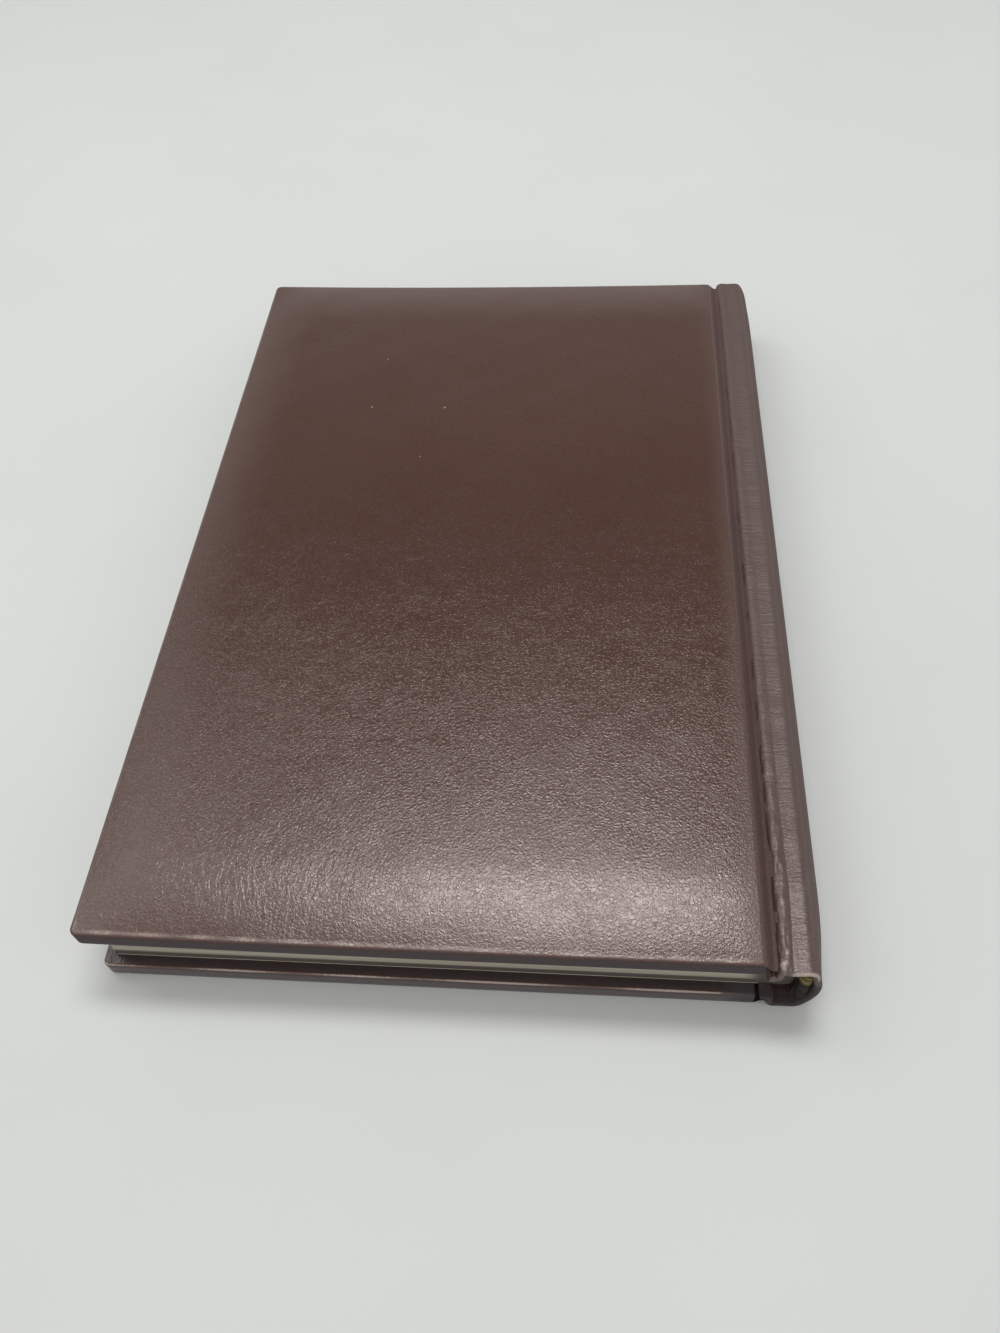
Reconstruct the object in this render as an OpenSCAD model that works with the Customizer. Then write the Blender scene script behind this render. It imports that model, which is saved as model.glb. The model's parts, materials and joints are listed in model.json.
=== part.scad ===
// A case-bound book in padded leather, closed and lying on its lower cover.
// The spine is at +X, the fore-edge at -X, the tail at -Y and the head at +Y.

/* [Pages] */
// Width of the pages, from the fore-edge to the back of the block
page_w = 138.2; // [100:0.1:180]
// Height of the pages, from tail to head
page_h = 211; // [150:1:260]
// Thickness of all the pages together, without the flyleaves
pages_t = 9.9; // [6:0.1:16]
// How far the back of the page block bulges, and its fore-edge hollows
back_round = 0.6; // [0.2:0.1:1.5]
// Thickness of one sheet of endpaper
paper_t = 0.2; // [0.1:0.05:0.4]
// Gap between a flyleaf and its pastedown when the book is closed
closing_gap = 0.1; // [0.05:0.05:0.4]

/* [Covers] */
// How far the covers stand past the pages at head and tail
square_w = 2.5; // [1.5:0.1:5]
// How far the upper cover stands past the pages at the fore-edge
fore_square = 4.2; // [2.5:0.1:6]
// How far the lower cover stops short of the upper one at the fore-edge
lower_setback = 1.3; // [0:0.1:2.5]
// How far the covers stop short of the back of the pages, for the joint
joint_w = 7.1; // [6:0.1:10]
// Thickness of the binder's boards
board_t = 2.5; // [1.5:0.1:4]
// Plan radius of the cover corners at the fore-edge
corner_r = 2.6; // [2:0.1:8]
// Radius of the rolled edge round the outer face of a cover
edge_r = 1.5; // [1.1:0.1:1.8]
// Radius of the edge round the inner face of a cover
inner_edge_r = 0.5; // [0.2:0.1:0.8]

/* [Leather and padding] */
// Thickness of the covering leather
leather_t = 0.9; // [0.6:0.1:1]
// Thickness of the leather where it is pared and turned in
turn_in_t = 0.6; // [0.3:0.1:1]
// Width of the turned-in leather inside a cover
turn_in_w = 15; // [8:1:30]
// Width of the slit where two turn-ins meet at a corner
mitre_gap = 0.3; // [0.2:0.1:0.8]
// How far a pastedown stops short of the edges of its cover
pastedown_margin = 3.5; // [2.5:0.5:6]
// Thickness of the padding at the edges of a cover
pad_edge_t = 0.4; // [0.3:0.1:1]
// Rise of the padding of the upper cover above its edges
crown = 1.3; // [0.6:0.1:2]
// Distance over which the padding rolls off at the three free edges
crown_roll = 13; // [8:1:25]
// Distance over which the padding rolls off beside the joint
joint_roll = 5; // [4:0.5:10]

/* [Spine] */
// How far the spine leather stands past the covers at head and tail
cap_over = 1.2; // [0.5:0.1:1.8]
// Width of the joint groove at its mouth
groove_w = 3.1; // [2.9:0.1:4]
// Radius of the leather ridge beside the groove
ridge_r = 1.3; // [1.1:0.1:1.6]
// Radius of the shoulder between the flat and the side of the spine
shoulder_r = 4.6; // [3:0.1:6]
// Radius of the bulged side of the spine
side_r = 16; // [14:0.5:40]
// Hollow between the back of the pages and the spine strip
hollow_w = 3.6; // [3:0.1:6]
// Thickness of the spine strip
strip_t = 1; // [0.6:0.1:1.4]
// Height of the spine strip across the spine
strip_w = 9.4; // [6:0.1:9.8]
// Length of the leather turned in at each end of the spine
cap_turn_in = 10; // [6:1:16]

/* [Back of the pages] */
// Thickness of the gauze glued to the back of the pages
gauze_t = 0.3; // [0.2:0.05:0.5]
// Thickness of the paper lining over the gauze
lining_t = 0.3; // [0.2:0.05:0.5]
// Number of sewing stations along the back
stations = 7; // [3:1:11]
// Diameter of the sewing thread
thread_d = 0.6; // [0.4:0.1:0.8]
// Radius of the bead of a headband
bead_r = 1.4; // [0.7:0.1:1.6]
// Thickness of the tape that carries the bead
tape_t = 0.4; // [0.3:0.1:0.6]
// Length of the tape glued to the back of the pages
tape_l = 8; // [5:1:14]
// Pitch of the wound silk on the bead
wrap_pitch = 0.8; // [0.6:0.1:1.2]

/* [Hidden] */

$fn = 32;
eps = 0.01;            // overlap that keeps a cut clean
arc_steps = 8;         // straight steps in a rounded corner of a profile
leather_colour = "#5b463f";
paper_colour = "#e6dfcd";
board_colour = "#8d7f6c";
foam_colour = "#d9cfae";
gauze_colour = "#e9e4d4";
kraft_colour = "#a98a5e";
silk_colour = "#b59a4a";
thread_colour = "#efe9d8";

// The layers of a cover, measured outwards from its inner face
board_z = paper_t + turn_in_t;
pad_z = board_z + board_t;
cover_t = pad_z + pad_edge_t + leather_t;

// Heights of the closed book, measured from the surface it lies on
block_z = cover_t + closing_gap;
block_t = pages_t + 2 * paper_t;
block_top = block_z + block_t;
upper_z = block_top + closing_gap;
book_t = upper_z + cover_t;
mid_z = book_t / 2;

// Places across the book, measured from the upper fore-edge
cover_h = page_h + 2 * square_w;
upper_w = fore_square + page_w - joint_w;
lower_w = upper_w - lower_setback;
back_x = fore_square + page_w;
side_x = back_x + hollow_w + strip_t + leather_t;
origin_x = side_x / 2;
spine_h = cover_h + 2 * cap_over;

layer_gap = 0.1;       // glue or play between two curved layers
groove_z = block_top + leather_t;
joint_gap = 0.3;       // between the leather of a cover and of the joint
floor_w = 1;           // flat part of the groove floor
crown_steps = [0.15, 0.35, 0.6, 1];
bead_offset = 1;       // how far the middle of a bead stands off its tape
ridge_x = upper_w + groove_w;
side_c = [side_x - side_r, mid_z];
shoulder_dz = book_t / 2 - shoulder_r;
shoulder_dx = sqrt(pow(side_r - shoulder_r, 2) - pow(shoulder_dz, 2));
shoulder_c = [side_c[0] + shoulder_dx, mid_z + shoulder_dz];
tangent_a = atan2(shoulder_dz, shoulder_dx);

// Points of an arc round c, from angle a0 to angle a1
function arc(c, r, a0, a1, steps = arc_steps) =
    [for (i = [0:steps]) c + r * [cos(a0 + (a1 - a0) * i / steps), sin(a0 + (a1 - a0) * i / steps)]];
function reversed(p) = [for (i = [len(p) - 1:-1:0]) p[i]];
function unit(v) = v / norm(v);
function left_of(a, b) = let (d = unit(b - a)) [-d[1], d[0]];
// Moves every point of an open path sideways by s, with mitred corners
function shifted(p, s) = [
    for (i = [0:len(p) - 1])
        let (
            before = left_of(p[max(i - 1, 0)], p[max(i, 1)]),
            after = left_of(p[min(i, len(p) - 2)], p[min(i + 1, len(p) - 1)]),
            n = unit(before + after)
        )
        p[i] + n * s / (n * before)
];
// A closed ribbon of thickness t on the left of an open path
function ribbon(p, t) = concat(p, reversed(shifted(p, t)));

// Outer line of the spine leather, from the lower groove round to the upper one
function upper_spine_line() = concat(
    arc(side_c, side_r, 0, tangent_a),
    [for (p = arc(shoulder_c, shoulder_r, tangent_a, 90)) if (p[1] > side_c[1]) p],
    arc([ridge_x + ridge_r, book_t - ridge_r], ridge_r, 90, 170),
    [[upper_w + joint_gap + floor_w, groove_z], [upper_w + joint_gap, groove_z]]
);
function mirrored(p) = [for (q = p) [q[0], book_t - q[1]]];
function without_repeats(p) = [for (i = [0:len(p) - 1]) if (i == 0 || norm(p[i] - p[max(i - 1, 0)]) > eps) p[i]];
spine_line = without_repeats(concat(reversed(mirrored(upper_spine_line())), upper_spine_line()));

// Line of the back of the pages, from bottom to top
back_reach = (pow(back_round, 2) + pow(block_t / 2, 2)) / (2 * back_round);
back_a = asin(block_t / 2 / back_reach);
back_line = arc([back_x - back_reach, mid_z], back_reach, -back_a, back_a, 2 * arc_steps);

// The part of the back line between two heights
function back_between(z0, z1) = let (a0 = asin((z0 - mid_z) / back_reach), a1 = asin((z1 - mid_z) / back_reach))
    arc([back_x - back_reach, mid_z], back_reach, a0, a1, 2 * arc_steps);

// Carries a profile drawn in X and Z along the length of the book
module along_book(length) {
    rotate([90, 0, 0])
        linear_extrude(height = length, center = true)
            children();
}

// Puts what is drawn from the fore-edge into the frame of the book
module in_frame() {
    translate([-origin_x, 0, 0])
        children();
}

// Plan of a cover, inset at its three free edges and at the joint
module cover_plan(x0, x1, inset, joint_inset) {
    left = x0 + inset;
    right = x1 - joint_inset;
    half = cover_h / 2 - inset;
    r = max(corner_r - inset, 0.4);
    polygon(concat(
        arc([left + r, half - r], r, 90, 180),
        arc([left + r, r - half], r, 180, 270),
        [[right, -half], [right, half]]
    ));
}

module plan_slice(x0, x1, inset, joint_inset, z) {
    translate([0, 0, z])
        linear_extrude(height = eps)
            cover_plan(x0, x1, inset, joint_inset);
}

// Share of the crown that is reached at a share of the roll-off distance
function crown_share(u) = 1 - pow(1 - u, 2);

// Upper part of a domed cover, measured outwards from its inner face. The skin
// is what lies outside it: 0 for the leather, its thickness for what it holds.
module cover_dome(x0, x1, skin, rise) {
    roll_r = edge_r - skin;
    for (a = [0:30:90]) {
        inset = skin + roll_r * (1 - cos(a));
        plan_slice(x0, x1, inset, inset, cover_t - edge_r + roll_r * sin(a) - eps);
    }
    if (rise > 0)
        for (u = crown_steps)
            plan_slice(
                x0, x1,
                edge_r + (crown_roll - edge_r) * u, edge_r + (joint_roll - edge_r) * u,
                cover_t - skin + rise * crown_share(u) - eps
            );
}

// Outside of a finished cover
module cover_form(x0, x1, rise) {
    hull() {
        for (a = [0:30:90]) {
            inset = inner_edge_r * (1 - sin(a));
            plan_slice(x0, x1, inset, inset, paper_t + inner_edge_r * (1 - cos(a)));
        }
        cover_dome(x0, x1, 0, rise);
    }
}

// What the leather wraps: the board and the padding on it
module cover_core(x0, x1, rise) {
    hull() {
        plan_slice(x0, x1, leather_t, leather_t, board_z);
        cover_dome(x0, x1, leather_t, rise);
    }
}

module cover_leather(x0, x1, rise) {
    window_h = cover_h - 2 * turn_in_w;
    color(leather_colour)
        difference() {
            cover_form(x0, x1, rise);
            cover_core(x0, x1, rise);
            translate([x0 + turn_in_w, -window_h / 2, 0])
                cube([x1 - x0 - turn_in_w - leather_t, window_h, board_z + eps]);
            translate([x1 - leather_t - eps, -window_h / 2, 0])
                cube([leather_t + 2 * eps, window_h, paper_t + eps]);
            for (s = [-1, 1])
                translate([x0 + corner_r, s * (cover_h / 2 - corner_r), 0])
                    rotate([0, 0, -s * 45])
                        translate([0, -mitre_gap / 2, 0])
                            cube([turn_in_w * sqrt(2), mitre_gap, board_z + eps]);
        }
}

module cover_board(x0, x1) {
    color(board_colour)
        translate([0, 0, board_z])
            linear_extrude(height = board_t)
                cover_plan(x0, x1, leather_t, leather_t);
}

module cover_padding(x0, x1, rise) {
    color(foam_colour)
        intersection() {
            cover_core(x0, x1, rise);
            translate([x0, -cover_h / 2, pad_z])
                cube([x1 - x0, cover_h, cover_t + rise]);
        }
}

// A sheet that lies over the turn-ins and dips between them to the board
module cover_pastedown(x0, x1) {
    outer_h = cover_h - 2 * pastedown_margin;
    outer_x = x0 + pastedown_margin;
    window_h = cover_h - 2 * turn_in_w;
    window_x = x0 + turn_in_w;
    color(paper_colour)
        difference() {
            translate([outer_x, -outer_h / 2, 0])
                cube([x1 - outer_x, outer_h, board_z]);
            difference() {
                translate([outer_x - eps, -outer_h / 2 - eps, paper_t])
                    cube([x1 - outer_x + 2 * eps, outer_h + 2 * eps, board_z]);
                translate([window_x, -window_h / 2, 0])
                    cube([x1 - leather_t - window_x, window_h, board_z + eps]);
            }
            translate([window_x + paper_t, paper_t - window_h / 2, -eps])
                cube([x1 - leather_t - window_x - 2 * paper_t, window_h - 2 * paper_t, turn_in_t + eps]);
        }
}

module upper() {
    in_frame()
        translate([0, 0, upper_z])
            children();
}

module lower() {
    in_frame()
        translate([0, 0, cover_t])
            mirror([0, 0, 1])
                children();
}

module upper_board() {
    upper() cover_board(0, upper_w);
}

module upper_padding() {
    upper() cover_padding(0, upper_w, crown);
}

module upper_leather() {
    upper() cover_leather(0, upper_w, crown);
}

module upper_pastedown() {
    upper() cover_pastedown(0, upper_w);
}

// The padding of the lower cover is pressed flat by the weight of the book
module lower_board() {
    lower() cover_board(lower_setback, upper_w);
}

module lower_padding() {
    lower() cover_padding(lower_setback, upper_w, 0);
}

module lower_leather() {
    lower() cover_leather(lower_setback, upper_w, 0);
}

module lower_pastedown() {
    lower() cover_pastedown(lower_setback, upper_w);
}

// The sewn pages, with a rounded back, a hollow fore-edge and sawn kerfs
module text_block() {
    fore_line = arc([fore_square - back_reach, mid_z], back_reach, -back_a, back_a, 2 * arc_steps);
    kerf_x = back_x - back_round - thread_d - layer_gap;
    color(paper_colour)
        in_frame()
            difference() {
                intersection() {
                    along_book(page_h)
                        polygon(concat(back_line, reversed(fore_line)));
                    translate([0, -page_h / 2, block_z + paper_t])
                        cube([back_x, page_h, pages_t]);
                }
                for (i = [1:stations])
                    translate([kerf_x, station_y(i) - thread_d / 2 - layer_gap, block_z])
                        cube([back_round + thread_d + 2 * layer_gap, thread_d + 2 * layer_gap, block_t]);
            }
}

function station_y(i) = -page_h / 2 + page_h * i / (stations + 1);

module flyleaf(z) {
    color(paper_colour)
        in_frame()
            translate([fore_square, -page_h / 2, z])
                cube([page_w - back_round, page_h, paper_t]);
}

module upper_flyleaf() {
    flyleaf(block_top - paper_t);
}

module lower_flyleaf() {
    flyleaf(block_z);
}

// One turn of thread at each station, lying in its kerf
module sewing_thread() {
    thread_x = back_x - back_round - thread_d / 2 - layer_gap / 2;
    color(thread_colour)
        in_frame()
            for (i = [1:stations])
                translate([thread_x, station_y(i), block_z + paper_t])
                    cylinder(h = pages_t, d = thread_d, $fn = 24);
}

// A sheet that follows the back of the pages, standing off it by gap
module back_sheet(gap, t, length) {
    line = back_between(block_z + paper_t, block_top - paper_t);
    in_frame()
        along_book(length)
            polygon(ribbon(shifted(line, -gap), -t));
}

gauze_l = page_h - 2 * (tape_l + 1);

module spine_gauze() {
    color(gauze_colour)
        back_sheet(0, gauze_t, gauze_l);
}

module spine_lining() {
    color(kraft_colour)
        back_sheet(gauze_t, lining_t, gauze_l - 4);
}

// Profile of the silk-wound bead, as radius and height
function bead_profile(length) = let (turns = floor(length / wrap_pitch), pitch = length / turns)
    concat(
        [[0, 0]],
        [for (i = [0:turns - 1], q = [[0.86, 0], [1, 0.5]]) [bead_r * q[0], pitch * (i + q[1])]],
        [[bead_r * 0.86, length], [0, length]]
    );

// A bead that stands over the end of the pages, and the tape that holds it
module band(end) {
    color(silk_colour)
        in_frame() {
            translate([back_x + tape_t + bead_offset, end * (page_h / 2 + bead_r), block_z + paper_t])
                rotate_extrude($fn = 24)
                    polygon(bead_profile(pages_t));
            translate([0, end * (page_h / 2 - tape_l / 2 + bead_r / 2), 0])
                along_book(tape_l + bead_r)
                    polygon(ribbon(back_between(block_z + paper_t, block_top - paper_t), -tape_t));
        }
}

module headband() {
    band(1);
}

module tailband() {
    band(-1);
}

// The card inlay, bent to the side of the spine
module spine_strip() {
    strip_a = asin(strip_w / 2 / (side_r - leather_t));
    inside = arc(side_c, side_r - leather_t - layer_gap / 2, -strip_a, strip_a);
    color(board_colour)
        in_frame()
            along_book(spine_h - 2 * cap_turn_in - 2 * layer_gap)
                polygon(ribbon(inside, strip_t));
}

// One sheet from groove to groove, turned in at head and tail
module spine_leather() {
    color(leather_colour)
        in_frame() {
            along_book(spine_h)
                polygon(ribbon(spine_line, leather_t));
            for (s = [-1, 1])
                translate([0, s * (spine_h - cap_turn_in) / 2, 0])
                    along_book(cap_turn_in)
                        polygon(ribbon(arc(side_c, side_r - leather_t + eps, -tangent_a, tangent_a), turn_in_t));
        }
}

text_block();
upper_flyleaf();
lower_flyleaf();
sewing_thread();
spine_gauze();
spine_lining();
headband();
tailband();
spine_strip();
spine_leather();
upper_board();
upper_padding();
upper_leather();
upper_pastedown();
lower_board();
lower_padding();
lower_leather();
lower_pastedown();
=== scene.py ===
# A case-bound book in padded leather, lying closed on its lower cover.
# Lengths in the dictionaries and in the shape functions are millimetres.
import json
import math

import bpy
import numpy as np
from mathutils import Matrix, Vector


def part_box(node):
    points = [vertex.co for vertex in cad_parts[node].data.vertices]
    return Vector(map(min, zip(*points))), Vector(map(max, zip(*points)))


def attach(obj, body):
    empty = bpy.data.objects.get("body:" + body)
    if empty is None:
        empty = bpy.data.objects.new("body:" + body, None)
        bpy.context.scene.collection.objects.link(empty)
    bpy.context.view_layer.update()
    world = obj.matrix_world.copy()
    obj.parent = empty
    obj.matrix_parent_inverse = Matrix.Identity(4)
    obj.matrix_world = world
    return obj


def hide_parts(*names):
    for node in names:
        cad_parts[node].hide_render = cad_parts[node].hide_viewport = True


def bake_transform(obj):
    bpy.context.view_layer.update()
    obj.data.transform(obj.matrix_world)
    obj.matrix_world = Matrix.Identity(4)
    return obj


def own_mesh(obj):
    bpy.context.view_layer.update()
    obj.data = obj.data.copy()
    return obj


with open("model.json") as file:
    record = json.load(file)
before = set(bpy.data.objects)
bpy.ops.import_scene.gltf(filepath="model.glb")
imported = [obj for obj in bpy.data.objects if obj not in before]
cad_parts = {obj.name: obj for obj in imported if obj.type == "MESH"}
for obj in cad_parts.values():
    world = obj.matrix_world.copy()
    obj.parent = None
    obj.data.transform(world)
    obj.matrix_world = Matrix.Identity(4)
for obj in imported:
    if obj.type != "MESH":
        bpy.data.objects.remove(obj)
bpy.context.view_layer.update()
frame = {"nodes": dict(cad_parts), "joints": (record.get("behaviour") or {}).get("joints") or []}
print("frame loaded:", len(frame["nodes"]), "nodes")

mm = 0.001
scene = bpy.context.scene


def nodeBox(name):  # lowest and highest corners of a node, in millimetres
    low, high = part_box(name)
    return np.array(low) / mm, np.array(high) / mm


coverLow, coverHigh = nodeBox("upper_leather")
lowerLow, lowerHigh = nodeBox("lower_leather")
spineLow, spineHigh = nodeBox("spine_leather")
blockLow, blockHigh = nodeBox("text_block")
boardLow, boardHigh = nodeBox("upper_board")
leafLow, leafHigh = nodeBox("upper_flyleaf")
lowLeafBottom = nodeBox("lower_flyleaf")[0][2]

bookMiddle = (lowLeafBottom + leafHigh[2]) / 2
flipSum = 2 * bookMiddle                      # the lower cover is made face up, at this less each height
coverTop = spineHigh[2]                       # the cover's edges are as high as the spine
leatherThickness = boardLow[0] - coverLow[0]
turnInThickness = boardLow[2] - coverLow[2]
paperThickness = leafHigh[2] - leafLow[2]

# Camera

cameraLook = {
    "target": (4.7, -24.95, 0.0),    # point that the middle of the picture looks at
    "distance": 268.0,
    "azimuth": 7.83,                 # degrees
    "elevation": 53.10,
    "roll": -5.01,
    "focalPixels": 1064.2,           # focal length in pixels of the 1000 x 1333 picture
    "pictureHeight": 1333,
    "sensor": 36.0,
    "clip": (0.01, 20.0),            # metres
}


# The camera looks back along the direction of its azimuth and elevation, turned by its roll
def placeCamera(look):
    azimuth, elevation, roll = (math.radians(look[key]) for key in ("azimuth", "elevation", "roll"))
    level = math.cos(elevation)
    back = Vector((math.sin(azimuth) * level, -math.cos(azimuth) * level, math.sin(elevation)))
    right = (-back).cross(Vector((0, 0, 1))).normalized()
    up = right.cross(-back)
    tiltedRight = math.cos(roll) * right + math.sin(roll) * up
    tiltedUp = -math.sin(roll) * right + math.cos(roll) * up
    data = bpy.data.cameras.new("photoCamera")
    data.sensor_width = look["sensor"]
    data.lens = look["sensor"] * look["focalPixels"] / look["pictureHeight"]
    data.clip_start, data.clip_end = look["clip"]
    camera = bpy.data.objects.new("photoCamera", data)
    turn = Matrix((tiltedRight, tiltedUp, back)).transposed().to_4x4()
    camera.matrix_world = Matrix.Translation((Vector(look["target"]) + back * look["distance"]) * mm) @ turn
    scene.collection.objects.link(camera)
    scene.camera = camera


placeCamera(cameraLook)
scene.view_settings.view_transform = "Standard"
print("camera placed")


# Shader maths: an expression on wires adds its Math nodes

class Wire:
    def __init__(self, paint, socket):
        self.paint = paint
        self.socket = socket

    def __add__(self, other):
        return self.paint.math("ADD", self, other)

    def __radd__(self, other):
        return self.paint.math("ADD", other, self)

    def __sub__(self, other):
        return self.paint.math("SUBTRACT", self, other)

    def __rsub__(self, other):
        return self.paint.math("SUBTRACT", other, self)

    def __mul__(self, other):
        return self.paint.math("MULTIPLY", self, other)

    def __rmul__(self, other):
        return self.paint.math("MULTIPLY", other, self)

    def __truediv__(self, other):
        return self.paint.math("DIVIDE", self, other)


# A screen colour of levels from 0 to 255, as linear light
def shade(*levels):
    shares = [level / 255 for level in levels]
    light = [share / 12.92 if share < 0.04 else ((share + 0.055) / 1.055) ** 2.4 for share in shares]
    return (*light, 1.0)


class Paint:
    def __init__(self, owner):
        owner.use_nodes = True
        self.owner = owner
        self.tree = owner.node_tree
        self.tree.nodes.clear()
        if isinstance(owner, bpy.types.Material):
            self.place = self.vector("SCALE", {0: self.node("TexCoord", {}, {}, "Object"), "Scale": 1 / mm})

    # Adds a node: its type, its settings, then the values or links of its sockets
    def node(self, kind, settings, sockets, output=0):
        item = self.tree.nodes.new("ShaderNode" + kind)
        for key, value in settings.items():
            if key == "stops":
                while len(item.color_ramp.elements) < len(value):
                    item.color_ramp.elements.new(0.5)
                for stop, (position, colour) in zip(item.color_ramp.elements, value):
                    stop.position = position
                    stop.color = colour
            else:
                setattr(item, key, value)
        for key, value in sockets.items():
            if isinstance(value, Wire):
                self.tree.links.new(value.socket, item.inputs[key])
            else:
                item.inputs[key].default_value = value
        return None if output is None else Wire(self, item.outputs[output])

    def math(self, operation, first, second=0.0):
        return self.node("Math", {"operation": operation}, {0: first, 1: second})

    def vector(self, operation, sockets, output=0):
        return self.node("VectorMath", {"operation": operation}, sockets, output)

    def clamp(self, value):
        return self.node("Math", {"operation": "ADD", "use_clamp": True}, {0: value, 1: 0.0})

    # Smooth step of a value from 0 at low to 1 at high
    def step(self, value, low, high):
        sockets = {"Value": value, "From Min": low, "From Max": high}
        return self.node("MapRange", {"interpolation_type": "SMOOTHSTEP"}, sockets)

    # Places stretched by a factor along each axis
    def stretched(self, factors, place=None):
        return self.vector("MULTIPLY", {0: place or self.place, 1: factors})

    def noise(self, scale, detail=2.0, roughness=0.5, place=None, distortion=0.0, output="Fac"):
        return self.node("TexNoise", {}, {
            "Vector": place or self.place, "Scale": scale, "Detail": detail,
            "Roughness": roughness, "Distortion": distortion}, output)

    # Places pushed about by noise of one scale, by some millimetres
    def shaken(self, scale, amount):
        push = self.vector("SUBTRACT", {0: self.noise(scale, output="Color"), 1: (0.5, 0.5, 0.5)})
        return self.vector("MULTIPLY_ADD", {0: push, 1: (amount,) * 3, 2: self.place})

    # Distance to the nearest edge between cells
    def cracks(self, scale, place):
        sockets = {"Vector": place, "Scale": scale}
        return self.node("TexVoronoi", {"feature": "DISTANCE_TO_EDGE"}, sockets, "Distance")

    # Distance to the middle of the nearest cell
    def cells(self, scale):
        sockets = {"Vector": self.place, "Scale": scale, "Smoothness": 0.6}
        return self.node("TexVoronoi", {"feature": "SMOOTH_F1"}, sockets, "Distance")

    # Mixes two colours: each one is a wire or a screen colour
    def blend(self, share, first, second):
        first, second = (item if isinstance(item, Wire) else shade(*item) for item in (first, second))
        return self.node("Mix", {"data_type": "RGBA"}, {0: share, 6: first, 7: second}, 2)

    def attribute(self, name):
        return self.node("Attribute", {"attribute_name": name}, {}, "Fac")

    def split(self, place=None):
        item = self.tree.nodes.new("ShaderNodeSeparateXYZ")
        self.tree.links.new((place or self.place).socket, item.inputs[0])
        return [Wire(self, item.outputs[k]) for k in range(3)]

    # Closes the material: height is in millimetres
    def finish(self, colour, roughness, height=None, **fixed):
        sockets = {"Base Color": colour, "Roughness": roughness}
        if height is not None:
            sockets["Normal"] = self.node("Bump", {}, {"Height": height, "Distance": mm, "Strength": 1.0})
        sockets.update({key.replace("_", " "): value for key, value in fixed.items()})
        self.node("OutputMaterial", {}, {"Surface": self.node("BsdfPrincipled", {}, sockets)}, None)
        return self.owner


def newPaint(name):
    return Paint(bpy.data.materials.new(name))


leatherLook = {
    "creaseShade": (52, 32, 27),         # painted shade in the cracks and creases of the grain
    "body": (73, 48, 39),
    "rubbed": (104, 80, 71),      # where the grain is worn smooth
    "polished": (150, 134, 128),  # along handled edges, partly a painted highlight there; also painted light in the grooves and on the spine's tail
    "scuffAndGlint": (172, 160, 150),   # along edges worn through the finish, and painted glints along the tail rims and the spine's foot
    "paintedShade": (52, 48, 53),       # painted shade on the edge walls, the turned tail edges and the spine's ends
    "tint": {                     # how strongly these colours show where each kind of mark is
        "crack": 0.55, "crease": 0.35, "rubbed": 0.08, "paintedShade": 0.85, "polished": 0.5, "scuffAndGlint": 0.7,
        "speck": 0.6},
    "grainSize": 0.88,           # width of one pebble of the grain
    "grainShake": (0.9, 1.25),   # scale and amount that its cells are pushed about by
    "grainDepth": 0.024,
    "crackWidth": 0.3,           # share of a pebble that slopes down to its edge
    "poreScale": 3.0,
    "poreDepth": 0.007,
    "creaseDepth": 0.009,
    "creaseShake": (0.16, 4.0),
    "creaseLeast": 0.65,         # share of a crease that shows outside the creased patches
    "patchScale": 0.09,
    "patchDepth": 0.004,
    "grainRise": (45.0, -60.0),  # places along the book between which the grain grows to its full height
    "grainLeast": 0.5,           # its share before them
    "tautAt": (-76.0, -96.0),    # places between which it is drawn flatter again over the edge of the board
    "tautShare": 0.28,
    "pucker": 0.085,             # fine folds across the fore-edge corner of the tail
    "puckerAt": ((-55, -90), (15, -45)),    # places along and across the book between which they grow
    "hatchDepth": 0.2,           # fine wrinkles across the spine
    "crumpleDepth": 0.24,        # along the crumpled part of its ridge
    "roughness": 0.19,
    "rough": {"patch": 0.02, "crack": 0.03, "crease": 0.04, "chafeAndGlint": 0.15},    # what each adds to it
    "matt": 0.5,                 # more roughness in dull parts
    "chafeAndGlintSpread": 1.3,                # how unevenly edges are worn through and carry painted glints
    "chafeAndGlintAt": (0.45, 0.8),     # levels of the wear and painted light mark between which each of these comes in
    "polishedAt": (0.12, 0.6),
    "paintedShadeAt": (-0.1, -0.9),
    "specular": 0.68,
    "glossTint": (1.0, 0.9, 0.885, 1.0),
    "specks": [                  # x, y, size
        (-35.2, 49.0, 0.35), (-33.4, 70.3, 0.3), (-14.6, 49.0, 0.4), (-19.3, 29.0, 0.22)],
}


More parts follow.
